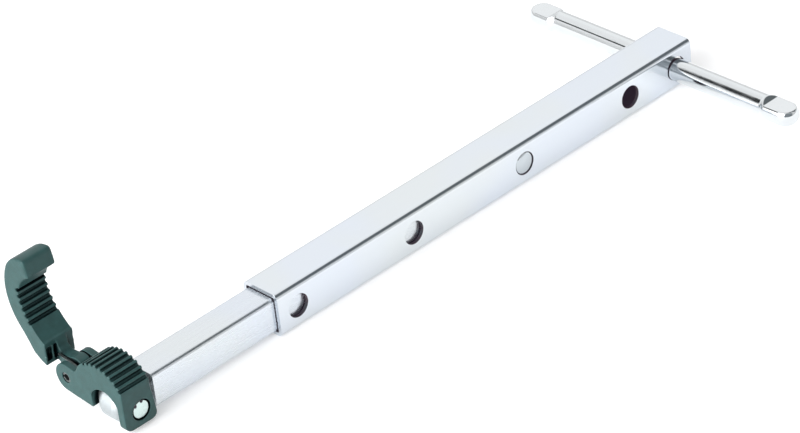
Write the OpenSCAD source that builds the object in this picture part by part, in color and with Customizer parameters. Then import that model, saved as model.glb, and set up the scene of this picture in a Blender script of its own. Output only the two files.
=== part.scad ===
// Telescoping basin wrench: a square inner tube slides in a square outer tube and locks with a snap
// button, a T-handle slides through the rear end, and a flip-over head carries a sprung hook jaw.
// Origin: middle of the outer tube's underside. +X runs towards the T-handle, +Z is up.

/* [Outer tube] */
// Width of the square outer tube
outer_w = 19; // [18.8:0.1:20]
// Wall thickness of the outer tube
outer_wall = 1.6; // [1.4:0.1:1.7]
// Length of the outer tube
outer_len = 233; // [226:1:300]

/* [Inner tube] */
// Width of the square inner tube
inner_w = 15; // [14.8:0.1:15.2]
// Wall thickness of the inner tube
inner_wall = 1.5; // [1.4:0.05:1.5]
// Length of the inner tube
inner_len = 215.5; // [200:0.5:216]

/* [Length stops] */
// Distance between neighbouring stop holes
stop_pitch = 62; // [56:1:62]
// Number of stop holes
stop_count = 4; // [3:1:4]
// Distance from the outer tube's mouth to the first stop hole
first_stop = 10; // [9:0.5:12]
// Diameter of a stop hole
stop_d = 10; // [9.8:0.1:10.4]
// Stop hole that the snap button sits in, counted from the mouth
rest_stop = 3; // [1:1:3]
// Distance from the inner tube's front end to the snap button
button_back = 195.5; // [190:0.5:196]

/* [Handle] */
// Diameter of the handle bar
bar_d = 9.5; // [9:0.1:9.7]
// Length of the handle bar
bar_len = 146; // [120:1:180]
// How far the bar stands off centre along Y
bar_shift = -1; // [-20:1:20]
// Width of the bar's flattened tips
tip_w = 11.2; // [10.8:0.1:12]
// Thickness of the bar's flattened tips
tip_t = 6.4; // [5.5:0.1:7]

/* [Head] */
// Width of both jaws along the shaft
jaw_w = 14; // [13.5:0.1:14.5]
// Distance from the inner tube's front end to the head's pivot
pivot_ahead = 9.5; // [9.4:0.1:10.5]
// How far the head's pivot lies under the shaft's centre line
pivot_drop = 1.2; // [0.8:0.1:1.4]
// Clear width between the heel jaw's two cheeks
cheek_gap = 14.9; // [14.7:0.1:15.1]
// Diameter of the rivet that the head turns on
rivet_d = 5; // [4.6:0.1:5.2]
// Diameter of the pin that the hook jaw turns on
pin_d = 4.4; // [4.2:0.1:4.5]
// Pitch of the gripping ribs
rib_pitch = 2.8; // [2.6:0.05:2.9]

/* [Hidden] */
$fn = 96;
slack = 0.05;      // running clearance on a radius or a face
past = 1;          // how far a cutter runs past the surface it opens

// Places along the shaft
axis_z = outer_w / 2;
mouth_x = -outer_len / 2;
button_x = mouth_x + first_stop + (rest_stop - 1) * stop_pitch;
inner_front = button_x - button_back;
bar_inset = 9.3;   // from the outer tube's rear end to the handle bar
bar_x = outer_len / 2 - bar_inset;
outer_r = 2.4;     // corner rounding of each tube
inner_r = 1.9;

// Handle bar
bar_hole_d = 10.4;
bar_z = axis_z - (bar_hole_d - bar_d) / 2 + slack;
tip_len = 16;      // from the bar's end to the start of the flattening
tip_ramp = 3;      // length of the ramp down to the flat

// Snap button and its leaf spring
button_d = 9.2;
button_hole_d = 9.5;
flange_d = 10.6;
flange_t = 0.7;
button_rim = outer_w / 2 - 0.3;
dome_h = 1;
leaf_w = 8;
leaf_t = 0.6;
leaf_reach = 28;   // from the fold to the button

// Head: the jaws' profiles are drawn in Y and Z about the shaft's centre line
pivot_x = inner_front - pivot_ahead;
pivot_z = axis_z - pivot_drop;
near_reach = 8.5;  // from the pivot forward to the jaws' front face
near_x = pivot_x - near_reach;
cheek_t = 3.5;
cheek_y = cheek_gap / 2 + cheek_t;
cheek_drop = 6.6;  // from the pivot down to the cheek's lower edge
cheek_rear = 6.9;  // from the pivot back to the cheek's rear edge
cheek_front_r = 3.6; // rounding of the cheek's lower corners, front and rear
cheek_rear_r = 2.6;
cavity_r = 11.7;   // round pocket that the lug's eye turns in
eye_r = 8;
eye_w = 12.4;
eye_edge = 3.6;    // rounding of the eye's rims
washer_d = 11;
washer_t = (cheek_gap - eye_w) / 2 - 2 * slack;
rivet_head_d = 7.2;
sink_d = 8.6;      // counterbore round the rivet's head
sink_depth = 1.7;
rivet_reach = 13;  // how far the rivet goes into the heel jaw on +Y

// Hook hinge
hinge_y = 21.5;
hinge_z = 3.9;
ear_r = 5.9;
ear_t = 3;
tongue_x = 5.5;    // from the near face to the tongue
tongue_t = 4.9;
slot_w = 7.9;      // gap between the two ears
slot_r = 6.3;
nose_r = 7.2;      // stop nose on the tongue
nose_slot_r = 7.5;
pocket_w = 2.6;    // width of the hollow beside the hook's near face
wire_d = 1;
coil_r = 3.7;

// Ribbed gripping faces
back_c = [1.9, 2.4];     // centre of the heel jaw's round back
back_r = 15.3;
back_end = 146;          // angle where the back meets the outer cheek
throat_c = [16.86, 35.21]; // centre of the hook jaw's gripping face
throat_r = 25.9;
rib_depth = 1;
rib_floor = 1;           // width of a groove's floor
heel_ribs = 9;
hook_ribs = 6;

// ---------- shared shapes ----------

// Points on an arc about c from angle a to angle b
function arc(c, r, a, b, n = 12) =
    [for (i = [0:n]) c + r * [cos(a + (b - a) * i / n), sin(a + (b - a) * i / n)]];

// Draws a Y-Z outline and extrudes it towards +X
module along_x(length) {
    rotate([90, 0, 90]) linear_extrude(length) children();
}

// Rounded square with exact corner arcs
module round_square(w, r) {
    square([w, w - 2 * r], center = true);
    square([w - 2 * r, w], center = true);
    for (y = [-1, 1], z = [-1, 1])
        translate([y * (w / 2 - r), z * (w / 2 - r)]) circle(r);
}

module square_tube(length, w, wall, r) {
    along_x(length) difference() {
        round_square(w, r);
        round_square(w - 2 * wall, max(r - wall, 0.3));
    }
}

// Cylinder along Y from y0 to y1
module y_rod(y0, y1, d) {
    translate([0, y1, 0]) rotate([90, 0, 0]) cylinder(h = y1 - y0, d = d);
}

// Cylinder along X from x0 to x1
module x_rod(x0, x1, d) {
    translate([x0, 0, 0]) rotate([0, 90, 0]) cylinder(h = x1 - x0, d = d);
}

// ---------- shaft ----------

module outer_tube() color("lightsteelblue") {
    wall_mid = (outer_w - outer_wall) / 2;
    difference() {
        translate([mouth_x, 0, axis_z]) square_tube(outer_len, outer_w, outer_wall, outer_r);
        for (i = [0:stop_count - 1])
            translate([mouth_x + first_stop + i * stop_pitch, -wall_mid, axis_z])
                y_rod(-outer_wall, outer_wall, stop_d);
        translate([bar_x, 0, axis_z]) y_rod(-outer_w, outer_w, bar_hole_d);
    }
}

module inner_tube() color("lightsteelblue") {
    difference() {
        translate([inner_front, 0, axis_z]) square_tube(inner_len, inner_w, inner_wall, inner_r);
        translate([button_x, -(inner_w - inner_wall) / 2, axis_z])
            y_rod(-inner_wall, inner_wall, button_hole_d);
    }
}

module snap_button() color("silver") {
    flange_y = -(inner_w / 2 - inner_wall) + slack;
    dome_r = (pow(button_d / 2, 2) + pow(dome_h, 2)) / (2 * dome_h);
    translate([button_x, 0, axis_z]) {
        y_rod(flange_y, flange_y + flange_t, flange_d);
        y_rod(-button_rim, flange_y + flange_t / 2, button_d);
        intersection() {
            translate([0, dome_r - dome_h - button_rim, 0]) sphere(dome_r);
            y_rod(-button_rim - 2 * dome_h, -button_rim + past / 2, button_d);
        }
    }
}

// Strip of even thickness along a path in X and Y
function strip_side(path, t) = [for (i = [0:len(path) - 1])
    let (a = path[max(i - 1, 0)], b = path[min(i + 1, len(path) - 1)], d = (b - a) / norm(b - a))
    path[i] + t / 2 * [-d.y, d.x]];

module button_spring() color("gray") {
    top_y = -(inner_w / 2 - inner_wall) + slack + flange_t + slack + leaf_t / 2;
    wall_y = inner_w / 2 - inner_wall - slack - leaf_t / 2;
    fold_r = 1.6;
    tail = 6;
    path = concat(
        [[tail, top_y], [-tail, top_y]],
        arc([-leaf_reach, 0], fold_r, 260, 100),
        [[-tail, wall_y], [tail, wall_y]]);
    sides = concat(strip_side(path, leaf_t), [for (i = [len(path) - 1:-1:0]) strip_side(path, -leaf_t)[i]]);
    translate([button_x, 0, axis_z - leaf_w / 2]) linear_extrude(leaf_w) polygon(sides);
}

// ---------- handle ----------

module bar_tip() {
    flat_y = bar_len / 2 - tip_len + tip_ramp;
    intersection() {
        union() {
            translate([0, bar_len / 2 - tip_len, 0]) rotate([-90, 0, 0])
                cylinder(h = tip_ramp, d1 = bar_d, d2 = tip_w);
            y_rod(flat_y, (bar_len - tip_w) / 2, tip_w);
            translate([0, (bar_len - tip_w) / 2, 0]) sphere(d = tip_w);
        }
        translate([-tip_w, 0, 0]) along_x(2 * tip_w) polygon([
            [bar_len / 2 - tip_len, -bar_d / 2], [flat_y, -tip_t / 2],
            [bar_len / 2 + past, -tip_t / 2], [bar_len / 2 + past, tip_t / 2],
            [flat_y, tip_t / 2], [bar_len / 2 - tip_len, bar_d / 2]]);
    }
}

module handle_bar() color("white") {
    translate([bar_x, bar_shift, bar_z]) {
        y_rod(-(bar_len / 2 - tip_len), bar_len / 2 - tip_len, bar_d);
        bar_tip();
        mirror([0, 1, 0]) bar_tip();
    }
}

// ---------- head pivot ----------

// Disc about Y with rounded rims
module round_disc(r, w, edge) {
    rotate([90, 0, 0]) rotate_extrude() {
        translate([0, -w / 2]) square([r - edge, w]);
        translate([0, edge - w / 2]) square([r, w - 2 * edge]);
        for (z = [-1, 1])
            translate([r - edge, z * (w / 2 - edge)]) intersection() {
                circle(edge);
                translate([0, -edge]) square([edge, 2 * edge]);
            }
    }
}

module pivot_lug() color("whitesmoke") {
    shank_w = inner_w - 2 * inner_wall - 2 * slack;
    shank_len = 24;
    neck_h = 9.4;
    difference() {
        union() {
            translate([inner_front, 0, axis_z]) along_x(shank_len) round_square(shank_w, 0.8);
            translate([pivot_x, -eye_w / 2 + 0.4, pivot_z - neck_h / 2])
                cube([pivot_ahead + 2, eye_w - 0.8, neck_h]);
            translate([pivot_x, 0, pivot_z]) round_disc(eye_r, eye_w, eye_edge);
        }
        translate([pivot_x, 0, pivot_z]) y_rod(-eye_w, eye_w, rivet_d + 2 * slack);
    }
}

module pivot_rivet() color("white") {
    head_y = sink_depth - cheek_y;
    head_t = 1.2;
    crown_h = 0.3;
    crown_r = (pow(rivet_head_d / 2, 2) + pow(crown_h, 2)) / (2 * crown_h);
    translate([pivot_x, 0, pivot_z]) {
        y_rod(head_y - head_t, rivet_reach, rivet_d);
        y_rod(head_y - head_t, head_y, rivet_head_d);
        intersection() {
            translate([0, head_y - head_t + crown_r - crown_h, 0]) sphere(crown_r);
            y_rod(head_y - 2 * head_t, head_y - head_t / 2, rivet_head_d);
        }
    }
}

module thrust_washer() color("gray") {
    translate([pivot_x, -cheek_gap / 2 + slack, pivot_z]) difference() {
        y_rod(0, washer_t, washer_d);
        y_rod(-past, washer_t + past, rivet_d + 0.2);
    }
}

// Cone washer that keeps the head stiff on its rivet
module disc_spring() color("gray") {
    bore_r = rivet_d / 2 + 0.1;
    rim_r = washer_d / 2;
    t = 0.5;
    translate([pivot_x, eye_w / 2 + slack, pivot_z]) rotate([-90, 0, 0]) rotate_extrude()
        polygon([[bore_r, 0], [bore_r, t], [rim_r, washer_t], [rim_r, washer_t - t]]);
}

// ---------- heel jaw ----------

function heel_outline() = concat(
    [[-cheek_y, -pivot_drop], [-cheek_y, 9]],
    arc(back_c, back_r, back_end, 44, 16),
    [[14.6, 10.2], [15.8, 9.2], [hinge_y, hinge_z + ear_r]],
    arc([hinge_y, hinge_z], ear_r, 90, -85, 14),
    [[7.2, -3.3], [-cheek_gap / 2, -3.3], [-cheek_gap / 2, -pivot_drop]]);

// Outer cheek about the pivot, seen from its side: a rounded foot that leans out to the rear
module cheek_outline() {
    front_c = [cheek_front_r - near_reach, cheek_front_r - cheek_drop];
    rear_c = [cheek_rear - cheek_rear_r, cheek_rear_r - cheek_drop];
    top_x = jaw_w - near_reach;
    polygon(concat(
        [[-near_reach, 1]],
        arc(front_c, cheek_front_r, 180, 270, 8),
        arc(rear_c, cheek_rear_r, 270, 360, 8),
        [[top_x, 8], [top_x - 3, 8], [0, 1]]));
}

// Three-sided groove along X with its floor towards -Y
module rib_cutter() {
    mouth_w = rib_floor + 0.85 * (rib_depth + past);
    along_x(jaw_w + 2 * past) polygon([
        [-rib_depth, -rib_floor / 2], [-rib_depth, rib_floor / 2],
        [past, mouth_w / 2], [past, -mouth_w / 2]]);
}

// Grooves on the heel jaw's back, from the outer cheek over to the hinge
module heel_grooves() {
    step = rib_pitch / back_r * 180 / PI;
    for (i = [0:heel_ribs - 1])
        translate([near_x - past, back_c.x, axis_z + back_c.y])
            rotate([back_end - 1 - i * step, 0, 0]) translate([0, back_r, 0]) rib_cutter();
}

module heel_jaw() color("darkslategray") {
    difference() {
        union() {
            translate([near_x, 0, axis_z]) along_x(jaw_w) polygon(heel_outline());
            translate([pivot_x, -cheek_gap / 2, pivot_z]) rotate([90, 0, 0])
                linear_extrude(cheek_t) cheek_outline();
        }
        lug_pocket();
        heel_grooves();
        hinge_slot();
        translate([0, hinge_y, axis_z + hinge_z]) x_rod(near_x - past, near_x + jaw_w + past, pin_d);
        translate([pivot_x, 0, pivot_z]) {
            y_rod(-cheek_gap, rivet_reach + 0.2, rivet_d + 0.02);
            y_rod(-cheek_gap, sink_depth - cheek_y, sink_d);
        }
    }
}

// Round pocket for the lug's eye, open downwards between the cheeks
module lug_pocket() {
    translate([pivot_x, 0, pivot_z]) {
        intersection() {
            sphere(cavity_r);
            cube([4 * cavity_r, cheek_gap, 4 * cavity_r], center = true);
        }
        translate([near_x - pivot_x - past, -cheek_gap / 2, -2 * eye_r])
            cube([jaw_w + 2 * past, cheek_gap, 2 * eye_r]);
    }
}

// Gap between the two ears, with a deeper pocket below for the stop nose
module hinge_slot() {
    translate([near_x + ear_t, hinge_y, axis_z + hinge_z]) {
        x_rod(0, slot_w, 2 * slot_r);
        cube([slot_w, 2 * slot_r, 2 * slot_r]);
        translate([0, 0, -2 * slot_r]) cube([slot_w, 2 * slot_r, 2 * slot_r]);
        translate([0, -4.4, 4]) cube([slot_w, 4.4, slot_r]);
        along_x(slot_w)
            polygon(concat([[0, 0]], arc([0, 0], nose_slot_r, 192, 280), [[0, -nose_slot_r]]));
    }
}

// ---------- hook jaw ----------

// From the shoulder by the hinge round the outer back, over the nose and down the gripping face
function hook_outline() = concat(
    [[32.3, 4.6], [34.8, 5.5], [38.6, 8]],
    arc([26.12, 32.17], 24.66, -42, 20, 16),
    arc([37.18, 37.37], 12.4, 28, 92, 12),
    [[35.8, 48.6], [34.5, 43]],
    arc([29.6, 30.5], 13.1, 66, 14, 12),
    arc(throat_c, throat_r, -4, -52, 14),
    [[31.8, 14.4]]);

// Grooves on the hook jaw's gripping face, from under the nose downwards
module hook_grooves() {
    top = -1.8;
    step = rib_pitch / throat_r * 180 / PI;
    for (i = [0:hook_ribs - 1])
        translate([near_x - past, throat_c.x, axis_z + throat_c.y]) rotate([top - i * step, 0, 0])
            translate([0, throat_r, 0]) mirror([0, 1, 0]) rib_cutter();
}

module hook_jaw() color("darkslategray") {
    difference() {
        union() {
            translate([near_x, 0, axis_z]) along_x(jaw_w) polygon(hook_outline());
            translate([near_x + tongue_x, 0, axis_z]) along_x(tongue_t) polygon([
                [hinge_y + 2.6, hinge_z + 5], [29.2, 8.4], [30.8, 10.6], [31.8, 14.4], [34, 14],
                [34, 6], [32.3, 4.6], [hinge_y + 3, hinge_z - 4.8]]);
            translate([near_x + tongue_x, hinge_y, axis_z + hinge_z]) {
                x_rod(0, tongue_t, 2 * (ear_r - 0.2));
                along_x(tongue_t) polygon(concat([[0, 0]], arc([0, 0], nose_r, 194, 212)));
            }
        }
        hook_grooves();
        shoulder_pockets();
        translate([0, hinge_y, axis_z + hinge_z])
            x_rod(near_x, near_x + jaw_w, pin_d + 2 * slack);
    }
}

// Two hollows beside the tongue, with a thin rib left between them
module shoulder_pockets() {
    rib_t = 0.9;
    second_x = rib_t + pocket_w + rib_t;
    pocket(rib_t, pocket_w);
    pocket(second_x, tongue_x - second_x);
}

module pocket(x, w) {
    translate([near_x + x, 0, axis_z]) along_x(w)
        polygon([[31, 5.8], [34.2, 6.4], [33.6, 11], [31, 13.4]]);
}

// Slotted spring pin
module hook_pin() color("dimgray") {
    sunk = 0.45;
    length = jaw_w - 2 * sunk;
    wall = 0.8;
    slit = 0.8;
    translate([near_x + sunk, hinge_y, axis_z + hinge_z]) difference() {
        x_rod(0, length, pin_d - 0.02);
        x_rod(-past, length + past, pin_d - 2 * wall);
        translate([-past, 0, -slit / 2]) cube([length + 2 * past, pin_d, slit]);
    }
}

// Two coils round the pin, one leg on the heel jaw and one on the hook jaw
module hook_spring() color("gray") {
    pitch = 0.95 * wire_d;
    translate([near_x + ear_t + 0.1 + wire_d / 2, hinge_y, axis_z + hinge_z]) {
        rotate([0, 90, 0]) rotate_extrude() {
            translate([coil_r, 0]) circle(d = wire_d, $fn = 24);
            translate([coil_r, pitch]) circle(d = wire_d, $fn = 24);
        }
        spring_leg(-4.6, 0);
        translate([pitch, 0, 0]) spring_leg(9, 8);
    }
}

// Straight wire end from the coil's top along Y, tilted up by an angle
module spring_leg(length, tilt) {
    rotate([tilt, 0, 0]) translate([0, 0, coil_r])
        y_rod(min(length, 0), max(length, 0), wire_d - 0.1);
}

outer_tube();
handle_bar();
inner_tube();
snap_button();
button_spring();
pivot_lug();
heel_jaw();
pivot_rivet();
thrust_washer();
disc_spring();
hook_jaw();
hook_pin();
hook_spring();
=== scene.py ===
"""Looks for a telescoping basin wrench: plated square tubes, a sliding T-handle and forged jaws.

Each operator makes one group of pieces. A piece stands for one of the frame's solids, lies where
that solid lies and rides on the same body.
"""

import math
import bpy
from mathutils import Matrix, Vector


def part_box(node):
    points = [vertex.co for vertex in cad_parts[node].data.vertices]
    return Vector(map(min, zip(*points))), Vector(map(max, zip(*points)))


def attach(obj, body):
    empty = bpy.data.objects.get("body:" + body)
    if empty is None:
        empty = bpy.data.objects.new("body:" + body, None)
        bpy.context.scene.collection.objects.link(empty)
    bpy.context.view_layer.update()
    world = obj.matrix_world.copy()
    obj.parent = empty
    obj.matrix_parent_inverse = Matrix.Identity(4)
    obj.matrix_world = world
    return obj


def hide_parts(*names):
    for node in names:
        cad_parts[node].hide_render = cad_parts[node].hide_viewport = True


bl_info = {
    "name": "Basin wrench",
    "version": (1, 0, 0),
    "blender": (4, 5, 0),
    "location": "View3D > Sidebar > Wrench",
    "description": "Builds the looks of a telescoping basin wrench",
    "category": "Object",
}

import bmesh
import bpy
from bpy.props import FloatProperty, FloatVectorProperty, IntProperty, PointerProperty
from mathutils import Matrix, Vector

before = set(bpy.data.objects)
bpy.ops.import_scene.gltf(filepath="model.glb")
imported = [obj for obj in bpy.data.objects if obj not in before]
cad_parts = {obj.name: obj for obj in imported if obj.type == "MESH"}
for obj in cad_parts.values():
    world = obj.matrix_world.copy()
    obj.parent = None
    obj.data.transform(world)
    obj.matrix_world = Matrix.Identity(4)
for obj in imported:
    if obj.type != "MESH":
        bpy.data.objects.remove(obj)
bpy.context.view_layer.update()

MM = 0.001

# Meshes: points this close are one, faces this nearly level are one, sharper edges are rounded
WELD_DISTANCE = 0.002 * MM
LEVEL_ANGLE = math.radians(0.6)
SHARP_ANGLE = math.radians(28)
SMOOTH_FACTOR = 0.5

# Tubes: node, piece, body and roughness of the plate
TUBES = (
    ("outer_tube", "outer_tube_plated", "outer", 0.16),
    ("inner_tube", "inner_tube_plated", "shaft", 0.26),
)
# A hole's wall is made of small faces that hardly face sideways
WALL_FACE_AREA = 8 * MM * MM
WALL_SIDEWAYS = 0.3
# Faces this near a tube's ends or its outer skin stay plated
END_BAND = 0.5 * MM
SKIN_BAND = 0.1 * MM

# T-handle: the tips' half thickness and length, and the neck between tip and shank
TIP_FLAT = 3.2 * MM
TIP_LENGTH = 13 * MM
NECK_LENGTH = 3 * MM
# How far the flats run out beyond the shank, how softly they meet the round, and the blunt end
FLAT_RUNOUT = 0.6 * MM
FLAT_BLEND = 0.5 * MM
BLUNT_RADIUS = 0.02 * MM
NOSE_STEP_DEGREES = 5
NECK_STEPS = 14
BAR_SIDES = 96

# Punch marks in the rivet's head: their turns in degrees, distance from its axis, and radius
PUNCH_TURNS = (134, 78)
PUNCH_REACH = 3.5 * MM
PUNCH_RADIUS = 0.75 * MM

# The hook's gripping face is an arc in Y and Z
GRIP_CENTER = Vector((16.86, 44.71)) * MM
GRIP_RADIUS = 25.9 * MM
# The hook's strong smoothing grows from the first to the second distance: up from its foot, out
# behind its gripping face, and up to its nose, measured down from the top
ABOVE_FOOT = (10 * MM, 18 * MM)
BEHIND_GRIP = (1.5 * MM, 4.5 * MM)
BELOW_TOP = (15 * MM, 9 * MM)

# Finishes: the range that most of a noise lies in, tints, and pairs of colours that a noise
# runs between
NOISE_RANGE = (0.3, 0.7)
NOISE_ROUGHNESS = 0.55
COOL_TINT = (0.99, 1.0, 1.05)
# Inside the tubes: bare steel with stains, darkened as painted shade, and a faint painted glow
BORE_STAINS_AND_SHADE = (0.034, 0.045, 0.05), (0.06, 0.04, 0.045)
BORE_PAINTED_GLOW = (0.022, 0.015, 0.024)
LUG_GRAINS = (0.37, 0.40, 0.42), (0.52, 0.56, 0.57)
RIVET_MARKS = (0.48, 0.60, 0.58), (0.70, 0.81, 0.79)
PAPER_FIBRES = (0.80, 0.80, 0.81), (0.84, 0.84, 0.84)
# Painted shade in the jaws' hollows, and how far the occlusion reaches
HOLLOW_PAINTED_SHADE = (0.001, 0.003, 0.004)
HOLLOW_REACH = 2.5 * MM

# Brightness of the surroundings by height: below, at eye level and overhead
SKY_SHADES = ((0.0, 0.75), (0.3, 0.9), (0.5, 1.2), (0.7, 1.2), (1.0, 0.9))
WINDOW_AIM = (-0.96, 0.0, 0.28)
WINDOW_EDGE = (0.8, 0.92)
# Dark cards: the way from the wrench to each one, half its width and height in degrees, its shade
DARK_CARDS = (
    ((-0.35, -0.9, 0.3), 30, 28, 0.3),  # shade on the jaws' rivet side
    ((0.547, -0.42, 0.72), 27, 22, 0.16),  # line along the tubes' corner
    ((-0.485, 0.56, 0.67), 20, 3.2, 0.02),  # broad line on the near half of the bar
    ((-0.483, 0.63, 0.61), 5, 3.2, 0.05),  # thin line on its far half
    ((0.0, -1.0, 0.02), 12, 6, 0.1),  # spot mirrored in the button
)
CARD_TINT = Vector((1.0, 1.1, 1.15))
CARD_SOFTNESS = 0.05
CARD_FADE = 0.1

# Floor and camera
FLOOR_REACH = 6.0
FLOOR_GLOW = 0.3
CAMERA_TARGET = Vector((-42.6, 0, 12.3)) * MM
SENSOR_WIDTH_MM = 36


# ---------- settings ----------


class WrenchShape(bpy.types.PropertyGroup):
    """Edge roundings and mesh sizes"""

    rim_round: FloatProperty(
        name="Rim rounding",
        description="Rounding of the tubes' sawn ends and hole rims",
        default=0.18 * MM,
        min=0.05 * MM,
        max=0.5 * MM,
        unit="LENGTH",
        precision=5,
    )
    small_round: FloatProperty(
        name="Small rounding",
        description="Rounding on the button, rivet, pin and washers",
        default=0.15 * MM,
        min=0.02 * MM,
        max=0.3 * MM,
        unit="LENGTH",
        precision=5,
    )
    wire_round: FloatProperty(
        name="Wire rounding",
        description="Rounding of the torsion spring's cut ends",
        default=0.05 * MM,
        min=0.01 * MM,
        max=0.2 * MM,
        unit="LENGTH",
        precision=5,
    )
    forging_cell: FloatProperty(
        name="Forging cell",
        description="Mesh cell on the forged jaws",
        default=0.22 * MM,
        min=0.15 * MM,
        max=0.6 * MM,
        unit="LENGTH",
        precision=5,
    )
    forging_smooth: IntProperty(
        name="Forging smoothing",
        description="How many times the jaws' edges are smoothed",
        default=6,
        min=0,
        max=40,
    )
    blank_smooth: IntProperty(
        name="Blank smoothing",
        description="How many times the hook's bulky edges are smoothed, away from its working faces",
        default=90,
        min=0,
        max=300,
    )


class WrenchFinish(bpy.types.PropertyGroup):
    """Colours of the finishes"""

    plate: FloatVectorProperty(
        name="Tube plating",
        description="Bright bluish plate on the square tubes",
        default=(0.665, 0.70, 0.72),
        size=3,
        min=0,
        max=1,
        subtype="COLOR",
    )
    bar_plate: FloatVectorProperty(
        name="Bar plating",
        description="Polished plate on the T-handle",
        default=(0.65, 0.675, 0.69),
        size=3,
        min=0,
        max=1,
        subtype="COLOR",
    )
    button_plate: FloatVectorProperty(
        name="Button plating",
        description="Polished plate on the snap button",
        default=(0.49, 0.53, 0.56),
        size=3,
        min=0,
        max=1,
        subtype="COLOR",
    )
    phosphate: FloatVectorProperty(
        name="Phosphate coat",
        description="Dark coat on the forged jaws",
        default=(0.022, 0.070, 0.068),
        size=3,
        min=0,
        max=1,
        subtype="COLOR",
    )
    phosphate_worn: FloatVectorProperty(
        name="Rubbed phosphate",
        description="Where the dark coat is rubbed on raised edges",
        default=(0.10, 0.19, 0.19),
        size=3,
        min=0,
        max=1,
        subtype="COLOR",
    )
    spring_steel: FloatVectorProperty(
        name="Spring steel",
        description="Oiled spring steel of the springs, pin and washers",
        default=(0.16, 0.18, 0.18),
        size=3,
        min=0,
        max=1,
        subtype="COLOR",
    )


class WrenchStage(bpy.types.PropertyGroup):
    """Camera and light"""

    azimuth: FloatProperty(
        name="Camera azimuth",
        description="Turn of the camera round the wrench; zero looks along +Y",
        default=math.radians(-40.56),
        subtype="ANGLE",
    )
    elevation: FloatProperty(
        name="Camera elevation",
        description="Height of the camera above the horizon",
        default=math.radians(32.8),
        subtype="ANGLE",
    )
    roll: FloatProperty(
        name="Camera roll",
        description="Tilt of the camera about its own axis",
        default=math.radians(-7.05),
        subtype="ANGLE",
    )
    distance: FloatProperty(
        name="Camera distance",
        description="From the lens to the middle of the view",
        default=1.4746,
        min=0.5,
        max=5,
        unit="LENGTH",
    )
    lens: FloatProperty(
        name="Lens",
        description="Focal length in millimetres",
        default=170.08,
        min=35,
        max=300,
        unit="CAMERA",
    )
    room_light: FloatProperty(
        name="Room light",
        description="Strength of the white surroundings",
        default=1.0,
        min=0,
        max=3,
    )
    left_glow: FloatProperty(
        name="Left window",
        description="Strength of the bright window on the left",
        default=7.5,
        min=0,
        max=20,
    )


# ---------- nodes ----------


def set_input(tree, socket, value):
    """Links a value that is a socket, and sets any other"""
    if hasattr(value, "links"):
        tree.links.new(value, socket)
    else:
        socket.default_value = value


def noise(tree, size_mm, stretch=(1, 1, 1), detail=3.0):
    """Noise whose cells are about size_mm across, drawn out along an axis by stretch"""
    place = tree.nodes.new("ShaderNodeTexCoord")
    mapping = tree.nodes.new("ShaderNodeMapping")
    cells = 1 / (size_mm * MM)
    mapping.inputs["Scale"].default_value = [cells / s for s in stretch]
    tree.links.new(place.outputs["Object"], mapping.inputs["Vector"])
    texture = tree.nodes.new("ShaderNodeTexNoise")
    texture.inputs["Scale"].default_value = 1.0
    texture.inputs["Detail"].default_value = detail
    texture.inputs["Roughness"].default_value = NOISE_ROUGHNESS
    tree.links.new(mapping.outputs["Vector"], texture.inputs["Vector"])
    return texture.outputs["Fac"]


def remap(tree, value, from_range, to_range=(0, 1)):
    """Maps value from one range to another"""
    node = tree.nodes.new("ShaderNodeMapRange")
    tree.links.new(value, node.inputs["Value"])
    names = ("From Min", "From Max", "To Min", "To Max")
    for name, number in zip(names, (*from_range, *to_range), strict=True):
        node.inputs[name].default_value = number
    return node.outputs["Result"]


def mix_colors(tree, share, first, second):
    """First colour where share is 0, second where it is 1; a plain colour has three numbers"""
    node = tree.nodes.new("ShaderNodeMix")
    node.data_type = "RGBA"
    tree.links.new(share, node.inputs["Factor"])
    sockets = [socket for socket in node.inputs if socket.type == "RGBA"]
    for socket, color in zip(sockets, (first, second), strict=True):
        set_input(tree, socket, color if hasattr(color, "links") else (*color, 1))
    return next(socket for socket in node.outputs if socket.type == "RGBA")


def add_bump(tree, shader, *layers):
    """Stacks bumps; each layer is a value socket and its depth in millimetres"""
    normal = None
    for value, depth_mm in layers:
        bump = tree.nodes.new("ShaderNodeBump")
        bump.inputs["Strength"].default_value = 1.0
        bump.inputs["Distance"].default_value = depth_mm * MM
        tree.links.new(value, bump.inputs["Height"])
        if normal is not None:
            tree.links.new(normal, bump.inputs["Normal"])
        normal = bump.outputs["Normal"]
    tree.links.new(normal, shader.inputs["Normal"])


def calculate(tree, operation, *values):
    """The result of a Math node; a value is a socket or a number"""
    node = tree.nodes.new("ShaderNodeMath")
    node.operation = operation
    for socket, value in zip(node.inputs, values):
        set_input(tree, socket, value)
    return node.outputs["Value"]


def along_axis(tree, vector, axis):
    """How far a vector reaches along an axis"""
    node = tree.nodes.new("ShaderNodeVectorMath")
    node.operation = "DOT_PRODUCT"
    tree.links.new(vector, node.inputs[0])
    node.inputs[1].default_value = axis
    return node.outputs["Value"]


def grey_ramp(tree, value, shades):
    """Greys along a value; shades holds pairs of a place from 0 to 1 and a brightness"""
    node = tree.nodes.new("ShaderNodeValToRGB")
    tree.links.new(value, node.inputs["Fac"])
    points = node.color_ramp.elements
    while len(points) < len(shades):
        points.new(0.5)
    for point, (place, shade) in zip(points, shades, strict=True):
        point.position = place
        point.color = (shade, shade, shade, 1)
    return node.outputs["Color"]


# ---------- materials ----------


def start_material(name, metallic):
    """A material, its node tree and its Principled shader"""
    material = bpy.data.materials.new(name)
    material.use_nodes = True
    tree = material.node_tree
    shader = tree.nodes["Principled BSDF"]
    shader.inputs["Metallic"].default_value = metallic
    return material, tree, shader


def coat(tree, shader, color, pattern, roughness):
    """Gives the shader its colour, and a roughness that follows a noise from low to high"""
    tree.links.new(color, shader.inputs["Base Color"])
    tree.links.new(remap(tree, pattern, NOISE_RANGE, roughness), shader.inputs["Roughness"])


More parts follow.
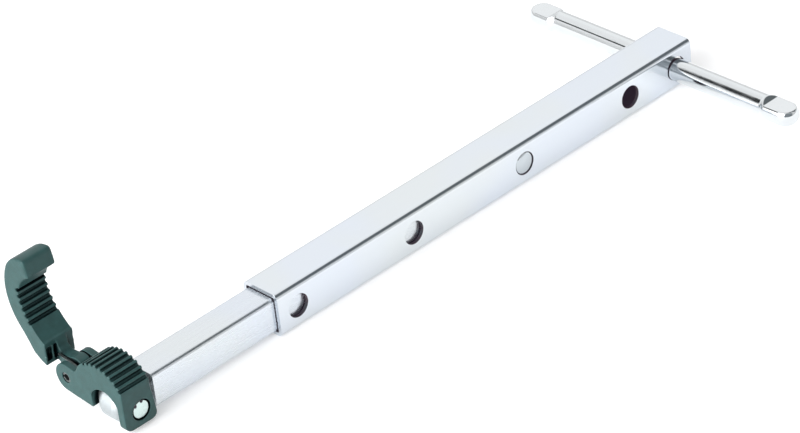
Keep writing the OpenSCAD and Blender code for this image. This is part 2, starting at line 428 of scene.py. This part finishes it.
def plated_tube_material(finish, name, roughness):
    """Bright plate over drawn tube: faint draw lines and a tint that drifts towards blue"""
    material, tree, shader = start_material(name, 1.0)
    drift = noise(tree, 34.0, detail=1.0)
    lines = noise(tree, 0.4, stretch=(60, 1, 1))
    cool = [part * tint for part, tint in zip(finish.plate, COOL_TINT, strict=True)]
    shade = mix_colors(tree, remap(tree, drift, (0.38, 0.62)), finish.plate, cool)
    coat(tree, shader, shade, lines, (roughness * 0.8, roughness * 1.2))
    add_bump(tree, shader, (lines, 0.0012), (drift, 0.01))
    return material


def tube_bore_shade_material():
    """Bare steel inside a tube and on its drilled walls, with brown stains; its darkness is partly
    painted shade, and a faint glow is painted fill light
    """
    material, tree, shader = start_material("tube_bore_shade", 0.4)
    # Painted fill light: a faint glow in the dark bore
    shader.inputs["Emission Color"].default_value = (*BORE_PAINTED_GLOW, 1)
    shader.inputs["Emission Strength"].default_value = 0.9
    stain = noise(tree, 2.5)
    shade = mix_colors(tree, remap(tree, stain, (0.35, 0.65)), *BORE_STAINS_AND_SHADE)
    coat(tree, shader, shade, stain, (0.5, 0.7))
    add_bump(tree, shader, (stain, 0.03))
    return material


def polished_material(name, plate):
    """Polished plate with very light polishing rings"""
    material, tree, shader = start_material(name, 1.0)
    rings = noise(tree, 0.3, stretch=(1, 40, 1))
    clouds = noise(tree, 6.0)
    shade = mix_colors(tree, clouds, plate, [part * 1.06 for part in plate])
    coat(tree, shader, shade, clouds, (0.06, 0.12))
    add_bump(tree, shader, (rings, 0.001), (clouds, 0.012))
    return material


def lug_material():
    """Bright, slightly grainy plate on a turned casting"""
    material, tree, shader = start_material("lug_plate", 0.85)
    grain = noise(tree, 0.4)
    coat(tree, shader, mix_colors(tree, grain, *LUG_GRAINS), grain, (0.38, 0.5))
    add_bump(tree, shader, (grain, 0.02))
    return material


def rivet_material():
    """Bright steel with fine turning marks"""
    material, tree, shader = start_material("rivet_bright", 1.0)
    marks = noise(tree, 0.2, stretch=(1, 6, 1))
    coat(tree, shader, mix_colors(tree, marks, *RIVET_MARKS), marks, (0.22, 0.4))
    add_bump(tree, shader, (marks, 0.006))
    return material


def phosphate_material(finish):
    """Dark phosphate on forged steel: fine tooth, faint mottling, rubbed edges, and painted shade in
    the hollows
    """
    material, tree, shader = start_material("jaw_phosphate", 0.0)
    mottle = noise(tree, 3.2, detail=4.0)
    tooth = noise(tree, 0.22, detail=2.0)
    dark = [part * 0.78 for part in finish.phosphate]
    mottled = mix_colors(tree, remap(tree, mottle, (0.32, 0.68)), dark, finish.phosphate)
    geometry = tree.nodes.new("ShaderNodeNewGeometry")
    raised = remap(tree, geometry.outputs["Pointiness"], (0.52, 0.60), (0, 0.7))
    rubbed = mix_colors(tree, raised, mottled, finish.phosphate_worn)
    # Painted shade: ambient occlusion darkens the colour and dims the specular in the hollows
    hollow_occlusion = tree.nodes.new("ShaderNodeAmbientOcclusion")
    hollow_occlusion.inputs["Distance"].default_value = HOLLOW_REACH
    hollow_occlusion.samples = 12
    painted_hollow_shade = remap(tree, hollow_occlusion.outputs["AO"], (0.9, 0.66))
    coat(tree, shader, mix_colors(tree, painted_hollow_shade, rubbed, HOLLOW_PAINTED_SHADE), tooth, (0.42, 0.58))
    sheen = remap(tree, painted_hollow_shade, (0, 1), (0.35, 0.02))
    tree.links.new(sheen, shader.inputs["Specular IOR Level"])
    add_bump(tree, shader, (mottle, 0.05), (tooth, 0.03))
    return material


def spring_steel_material(finish):
    """Oiled spring steel, smooth with drawing marks"""
    material, tree, shader = start_material("spring_steel", 0.9)
    marks = noise(tree, 0.25, stretch=(1, 3, 3))
    dark = [part * 0.8 for part in finish.spring_steel]
    coat(tree, shader, mix_colors(tree, marks, dark, finish.spring_steel), marks, (0.25, 0.45))
    add_bump(tree, shader, (marks, 0.008))
    return material


def paper_material():
    """White paper that glows a little, so that it stays white in soft light"""
    material, tree, shader = start_material("paper_floor", 0.0)
    shader.inputs["Roughness"].default_value = 0.8
    shader.inputs["Emission Color"].default_value = (1, 1, 1, 1)
    shader.inputs["Emission Strength"].default_value = FLOOR_GLOW
    fibres = noise(tree, 1.5)
    tree.links.new(mix_colors(tree, fibres, *PAPER_FIBRES), shader.inputs["Base Color"])
    return material


# ---------- surroundings ----------


def card_mask(tree, direction, aim, half_width, half_height):
    """1 inside an upright card that faces the wrench, 0 outside; half sizes are in degrees"""
    side = aim.cross(Vector((0, 1, 0))).normalized()
    up = side.cross(aim)
    reaches = []
    for axis, half_size in ((side, half_width), (up, half_height)):
        offset = calculate(tree, "ABSOLUTE", along_axis(tree, direction, axis))
        reaches.append(calculate(tree, "DIVIDE", offset, math.sin(math.radians(half_size))))
    farthest = calculate(tree, "MAXIMUM", *reaches)
    inside = remap(tree, farthest, (1 + CARD_SOFTNESS, 1 - CARD_SOFTNESS))
    ahead = remap(tree, along_axis(tree, direction, aim), (0, CARD_FADE))
    return calculate(tree, "MULTIPLY", inside, ahead)


def white_room(room_light, left_glow):
    """White surroundings with a bright window on the left and dark cards for the plate"""
    world = bpy.data.worlds.new("white_room")
    world.use_nodes = True
    tree = world.node_tree
    background = tree.nodes["Background"]
    background.inputs["Strength"].default_value = room_light
    direction = tree.nodes.new("ShaderNodeTexCoord").outputs["Generated"]
    sky = grey_ramp(tree, along_axis(tree, direction, (0, 0, 1)), SKY_SHADES)
    window = remap(tree, along_axis(tree, direction, WINDOW_AIM), WINDOW_EDGE)
    sky = mix_colors(tree, window, sky, [left_glow] * 3)
    for aim, half_width, half_height, shade in DARK_CARDS:
        card = card_mask(tree, direction, Vector(aim).normalized(), half_width, half_height)
        sky = mix_colors(tree, card, sky, CARD_TINT * shade)
    tree.links.new(sky, background.inputs["Color"])
    return world


# ---------- meshes ----------


def ease(value, low, high):
    """Runs smoothly from 0 at low to 1 at high"""
    share = min(max((value - low) / (high - low), 0), 1)
    return share * share * (3 - 2 * share)


def soft_min(a, b, blend):
    """The smaller of two numbers, rounded over where they meet"""
    share = max(blend - abs(a - b), 0) / blend
    return min(a, b) - share * share * blend / 4


def new_mesh(name, form):
    """A mesh from a finished bmesh, which is freed"""
    mesh = bpy.data.meshes.new(name)
    form.to_mesh(mesh)
    form.free()
    return mesh


def link_object(name, mesh):
    """A new object in the scene"""
    piece = bpy.data.objects.new(name, mesh)
    bpy.context.scene.collection.objects.link(piece)
    return piece


def finish_piece(piece, body, material, node):
    """Gives a piece its finish and its body, and hides the node that it replaces"""
    piece.data.materials.clear()
    piece.data.materials.append(material)
    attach(piece, body)
    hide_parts(node)


def whole_faces(node):
    """A copy of a node's mesh with flat stretches merged into single faces"""
    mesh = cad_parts[node].data.copy()
    form = bmesh.new()
    form.from_mesh(mesh)
    bmesh.ops.remove_doubles(form, verts=form.verts, dist=WELD_DISTANCE)
    bmesh.ops.dissolve_limit(form, angle_limit=LEVEL_ANGLE, verts=form.verts, edges=form.edges)
    form.to_mesh(mesh)
    form.free()
    return mesh


def settle(piece):
    """Applies the piece's modifiers and shades it smooth"""
    graph = bpy.context.evaluated_depsgraph_get()
    settled = bpy.data.meshes.new_from_object(piece.evaluated_get(graph))
    settled.shade_smooth()
    piece.modifiers.clear()
    piece.data = settled


def rounded_copy(node, name, width, segments=3):
    """A copy of a node with its sharp edges rounded"""
    piece = link_object(name, whole_faces(node))
    piece.data.shade_smooth()
    bevel = piece.modifiers.new("edges", "BEVEL")
    bevel.limit_method = "ANGLE"
    bevel.angle_limit = SHARP_ANGLE
    bevel.width = width
    bevel.segments = segments
    bevel.miter_outer = "MITER_ARC"
    bevel.harden_normals = True
    normals = piece.modifiers.new("normals", "WEIGHTED_NORMAL")
    normals.keep_sharp = True
    return piece


def add_smoothing(piece, name, times):
    """A Smooth modifier that runs a number of times"""
    smoothing = piece.modifiers.new(name, "SMOOTH")
    smoothing.factor = SMOOTH_FACTOR
    smoothing.iterations = times
    return smoothing


def forged_copy(node, name, shape, bulk=None):
    """A copy of a node as an even skin with soft, forged edges

    bulk gives each point a share from 0 to 1 of the strong smoothing that rounds bulky edges.
    """
    piece = link_object(name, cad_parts[node].data.copy())
    skin = piece.modifiers.new("skin", "REMESH")
    skin.mode = "VOXEL"
    skin.voxel_size = shape.forging_cell
    settle(piece)
    if bulk:
        group = piece.vertex_groups.new(name="bulk")
        for vertex in piece.data.vertices:
            group.add([vertex.index], bulk(vertex.co), "REPLACE")
        add_smoothing(piece, "blank", shape.blank_smooth).vertex_group = group.name
    add_smoothing(piece, "soften", shape.forging_smooth)
    settle(piece)
    return piece


def lathe_rings(rings):
    """A closed mesh from rings of points, each joined to the next"""
    form = bmesh.new()
    made = [[form.verts.new(point) for point in ring] for ring in rings]
    count = len(rings[0])
    for first, second in zip(made, made[1:]):
        for i in range(count):
            j = (i + 1) % count
            form.faces.new((first[i], first[j], second[j], second[i]))
    form.faces.new(list(reversed(made[0])))
    form.faces.new(made[-1])
    bmesh.ops.recalc_face_normals(form, faces=form.faces)
    mesh = new_mesh("rings", form)
    mesh.shade_smooth()
    return mesh


# ---------- operators ----------


class WRENCH_OT_tubes(bpy.types.Operator):
    """Make the plated square tubes with rounded rims"""

    bl_idname = "wrench.tubes"
    bl_label = "Tubes"

    def execute(self, context):
        scene = context.scene
        bore_shade = tube_bore_shade_material()
        for node, name, body, roughness in TUBES:
            plate = plated_tube_material(scene.wrench_finish, name + "_coat", roughness)
            piece = rounded_copy(node, name, scene.wrench_shape.rim_round)
            finish_piece(piece, body, plate, node)
            # The inside and the hole walls get the bare finish, with painted shade
            piece.data.materials.append(bore_shade)
            self.mark_bore_shade(piece.data, *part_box(node))
        return {"FINISHED"}

    def on_wall(self, face):
        """True for the small faces round a hole, which face along the tube's side"""
        return abs(face.normal.y) < WALL_SIDEWAYS and face.area < WALL_FACE_AREA

    def mark_bore_shade(self, mesh, low, high):
        """Gives the faces inside the tube and on its drilled walls the dark bare finish, with its
        painted shade and painted glow
        """
        middle = (low + high) / 2
        for face in mesh.polygons:
            from_end = min(face.center.x - low.x, high.x - face.center.x)
            outward = max(
                abs(face.center.y - middle.y) - (high.y - middle.y),
                abs(face.center.z - middle.z) - (high.z - middle.z),
            )
            faces_out = face.normal.yz.dot((face.center - middle).yz) > 0
            inside = from_end >= END_BAND and outward < -SKIN_BAND
            if inside and (not faces_out or self.on_wall(face)):
                face.material_index = 1


class WRENCH_OT_handle(bpy.types.Operator):
    """Make the T-handle bar with its flattened tips"""

    bl_idname = "wrench.handle"
    bl_label = "T-handle"

    def execute(self, context):
        low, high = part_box("handle_bar")
        middle = (low + high) / 2
        tip_radius, half_length, shank_radius = (high - low) / 2
        rings = []
        for y in self.stations(half_length, tip_radius):
            radius, flat = self.section(half_length - abs(y), tip_radius, shank_radius)
            rings.append(self.ring(middle + Vector((0, y, 0)), radius, flat))
        piece = link_object("handle_bar_polished", lathe_rings(rings))
        material = polished_material("bar_plate", context.scene.wrench_finish.bar_plate)
        finish_piece(piece, "bar", material, "handle_bar")
        return {"FINISHED"}

    def stations(self, half_length, tip_radius):
        """Places along the bar, close together where its section changes"""
        turns = [math.radians(a) for a in range(0, 91, NOSE_STEP_DEGREES)]
        nose = [half_length - tip_radius * (1 - math.cos(turn)) for turn in turns]
        neck_start = half_length - TIP_LENGTH
        neck = [neck_start - NECK_LENGTH * i / NECK_STEPS for i in range(-3, NECK_STEPS + 4)]
        side = sorted(set(nose + neck))
        return [-y for y in reversed(side)] + side

    def section(self, from_tip, tip_radius, shank_radius):
        """The bar's radius and half thickness at a distance from its tip"""
        radius = tip_radius
        if from_tip < tip_radius:
            radius = math.sqrt(max(tip_radius**2 - (tip_radius - from_tip) ** 2, 0))
        radius += (shank_radius - tip_radius) * ease(
            from_tip, TIP_LENGTH, TIP_LENGTH + NECK_LENGTH
        )
        along_neck = min(max((from_tip - TIP_LENGTH) / NECK_LENGTH, 0), 1)
        flat = TIP_FLAT + (shank_radius + FLAT_RUNOUT - TIP_FLAT) * along_neck
        return max(radius, BLUNT_RADIUS), flat

    def ring(self, center, radius, flat):
        """One section of the bar: round, and clipped softly to the flats' thickness"""
        points = []
        for i in range(BAR_SIDES):
            turn = 2 * math.pi * i / BAR_SIDES
            z = radius * math.sin(turn)
            lift = math.copysign(soft_min(abs(z), flat, FLAT_BLEND), z)
            points.append(center + Vector((radius * math.cos(turn), 0, lift)))
        return points


class WRENCH_OT_button(bpy.types.Operator):
    """Make the snap button and its leaf spring"""

    bl_idname = "wrench.button"
    bl_label = "Snap button"

    def execute(self, context):
        finish = context.scene.wrench_finish
        small = context.scene.wrench_shape.small_round
        bright = polished_material("button_plate", finish.button_plate)
        steel = spring_steel_material(finish)
        button = rounded_copy("snap_button", "snap_button_domed", 2 * small)
        finish_piece(button, "button", bright, "snap_button")
        leaf = rounded_copy("button_spring", "button_leaf_spring", 0.6 * small, segments=2)
        finish_piece(leaf, "shaft", steel, "button_spring")
        return {"FINISHED"}


class WRENCH_OT_pivot(bpy.types.Operator):
    """Make the lug, the staked rivet, the washers that the head turns on and the hook's pin"""

    bl_idname = "wrench.pivot"
    bl_label = "Head pivot"

    def execute(self, context):
        small = context.scene.wrench_shape.small_round
        lug = rounded_copy("pivot_lug", "pivot_lug_plated", 2 * small)
        finish_piece(lug, "shaft", lug_material(), "pivot_lug")
        rivet = rounded_copy("pivot_rivet", "pivot_rivet_staked", small)
        settle(rivet)
        finish_piece(rivet, "head", rivet_material(), "pivot_rivet")
        self.stake(rivet, *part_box("pivot_rivet"))
        steel = spring_steel_material(context.scene.wrench_finish)
        for node in ("thrust_washer", "disc_spring", "hook_pin"):
            piece = rounded_copy(node, node + "_eased", 0.4 * small, segments=2)
            finish_piece(piece, "head", steel, node)
        return {"FINISHED"}

    def stake(self, rivet, low, high):
        """Bites two small punch marks out of the head's rim; the bites take the dark bore finish as
        painted shade
        """
        middle = (low + high) / 2
        form = bmesh.new()
        for turn in map(math.radians, PUNCH_TURNS):
            reach = Vector((math.cos(turn), 0, math.sin(turn))) * PUNCH_REACH
            place = Matrix.Translation(Vector((middle.x, low.y, middle.z)) + reach)
            bmesh.ops.create_uvsphere(
                form, u_segments=24, v_segments=16, radius=PUNCH_RADIUS, matrix=place
            )
        punches = link_object("punches", new_mesh("punches", form))
        # Painted shade: the marks' faces take the dark bore finish
        punches.data.materials.append(tube_bore_shade_material())
        bite = rivet.modifiers.new("bite", "BOOLEAN")
        bite.object = punches
        bite.solver = "EXACT"
        bite.material_mode = "TRANSFER"
        settle(rivet)
        bpy.data.objects.remove(punches)


class WRENCH_OT_jaws(bpy.types.Operator):
    """Make the forged heel and hook jaws"""

    bl_idname = "wrench.jaws"
    bl_label = "Jaws"

    def execute(self, context):
        scene = context.scene
        phosphate = phosphate_material(scene.wrench_finish)
        for node, body, bulk in (
            ("heel_jaw", "head", None),
            ("hook_jaw", "hook", self.hook_bulk(*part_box("hook_jaw"))),
        ):
            piece = forged_copy(node, node + "_forged", scene.wrench_shape, bulk)
            finish_piece(piece, body, phosphate, node)
        return {"FINISHED"}

    def hook_bulk(self, low, high):
        """Nothing by the hinge or on the gripping ribs, everything on the outer back and nose"""

        def share(point):
            behind = (point.yz - GRIP_CENTER).length - GRIP_RADIUS
            off_hinge = ease(point.z - low.z, *ABOVE_FOOT)
            on_back = ease(behind, *BEHIND_GRIP)
            on_nose = ease(high.z - point.z, *BELOW_TOP)
            return min(off_hinge, max(on_back, on_nose))

        return share


class WRENCH_OT_hook_spring(bpy.types.Operator):
    """Make the hook jaw's torsion spring"""

    bl_idname = "wrench.hook_spring"
    bl_label = "Hook spring"

    def execute(self, context):
        wire_round = context.scene.wrench_shape.wire_round
        piece = rounded_copy("hook_spring", "hook_torsion_spring", wire_round, segments=1)
        steel = spring_steel_material(context.scene.wrench_finish)
        finish_piece(piece, "head", steel, "hook_spring")
        return {"FINISHED"}


class WRENCH_OT_stage(bpy.types.Operator):
    """Set the floor, the soft light and the camera"""

    bl_idname = "wrench.stage"
    bl_label = "Stage"

    def execute(self, context):
        scene = context.scene
        stage = scene.wrench_stage
        self.lay_floor()
        scene.world = white_room(stage.room_light, stage.left_glow)
        self.set_camera(scene, stage)
        scene.view_settings.view_transform = "Standard"
        return {"FINISHED"}

    def lay_floor(self):
        """A wide sheet of white paper under the wrench"""
        form = bmesh.new()
        bmesh.ops.create_grid(form, x_segments=8, y_segments=8, size=FLOOR_REACH)
        floor = link_object("floor", new_mesh("floor", form))
        floor.data.materials.append(paper_material())

    def set_camera(self, scene, stage):
        """Looks at the target from the stage's azimuth, elevation and distance"""
        lens = bpy.data.cameras.new("camera")
        lens.lens = stage.lens
        lens.sensor_width = SENSOR_WIDTH_MM
        camera = bpy.data.objects.new("camera", lens)
        scene.collection.objects.link(camera)
        turn, lift = stage.azimuth, stage.elevation
        back = Vector(
            (math.sin(turn) * math.cos(lift), -math.cos(turn) * math.cos(lift), math.sin(lift))
        )
        facing = (-back).to_track_quat("-Z", "Y").to_matrix().to_4x4()
        tilt = Matrix.Rotation(stage.roll, 4, "Z")
        place = Matrix.Translation(CAMERA_TARGET + back * stage.distance)
        camera.matrix_world = place @ facing @ tilt
        scene.camera = camera


class WRENCH_PT_panel(bpy.types.Panel):
    """Buttons and settings in the sidebar"""

    bl_idname = "WRENCH_PT_panel"
    bl_label = "Basin wrench"
    bl_space_type = "VIEW_3D"
    bl_region_type = "UI"
    bl_category = "Wrench"

    def draw(self, context):
        layout = self.layout
        for operator in OPERATORS:
            layout.operator(operator.bl_idname)
        scene = context.scene
        for group in (scene.wrench_shape, scene.wrench_finish, scene.wrench_stage):
            for name in group.__annotations__:
                layout.prop(group, name)


OPERATORS = (
    WRENCH_OT_tubes,
    WRENCH_OT_handle,
    WRENCH_OT_button,
    WRENCH_OT_pivot,
    WRENCH_OT_jaws,
    WRENCH_OT_hook_spring,
    WRENCH_OT_stage,
)
CLASSES = (WrenchShape, WrenchFinish, WrenchStage, *OPERATORS, WRENCH_PT_panel)


def register():
    """Adds the classes and the scene's settings"""
    for cls in CLASSES:
        bpy.utils.register_class(cls)
    bpy.types.Scene.wrench_shape = PointerProperty(type=WrenchShape)
    bpy.types.Scene.wrench_finish = PointerProperty(type=WrenchFinish)
    bpy.types.Scene.wrench_stage = PointerProperty(type=WrenchStage)


def unregister():
    """Takes the settings and classes away again"""
    del bpy.types.Scene.wrench_stage
    del bpy.types.Scene.wrench_finish
    del bpy.types.Scene.wrench_shape
    for cls in reversed(CLASSES):
        bpy.utils.unregister_class(cls)


def main():
    """Builds the wrench and its stage"""
    register()
    bpy.ops.wrench.tubes()
    bpy.ops.wrench.handle()
    bpy.ops.wrench.button()
    bpy.ops.wrench.pivot()
    bpy.ops.wrench.jaws()
    bpy.ops.wrench.hook_spring()
    bpy.ops.wrench.stage()


if __name__ == "__main__":
    main()
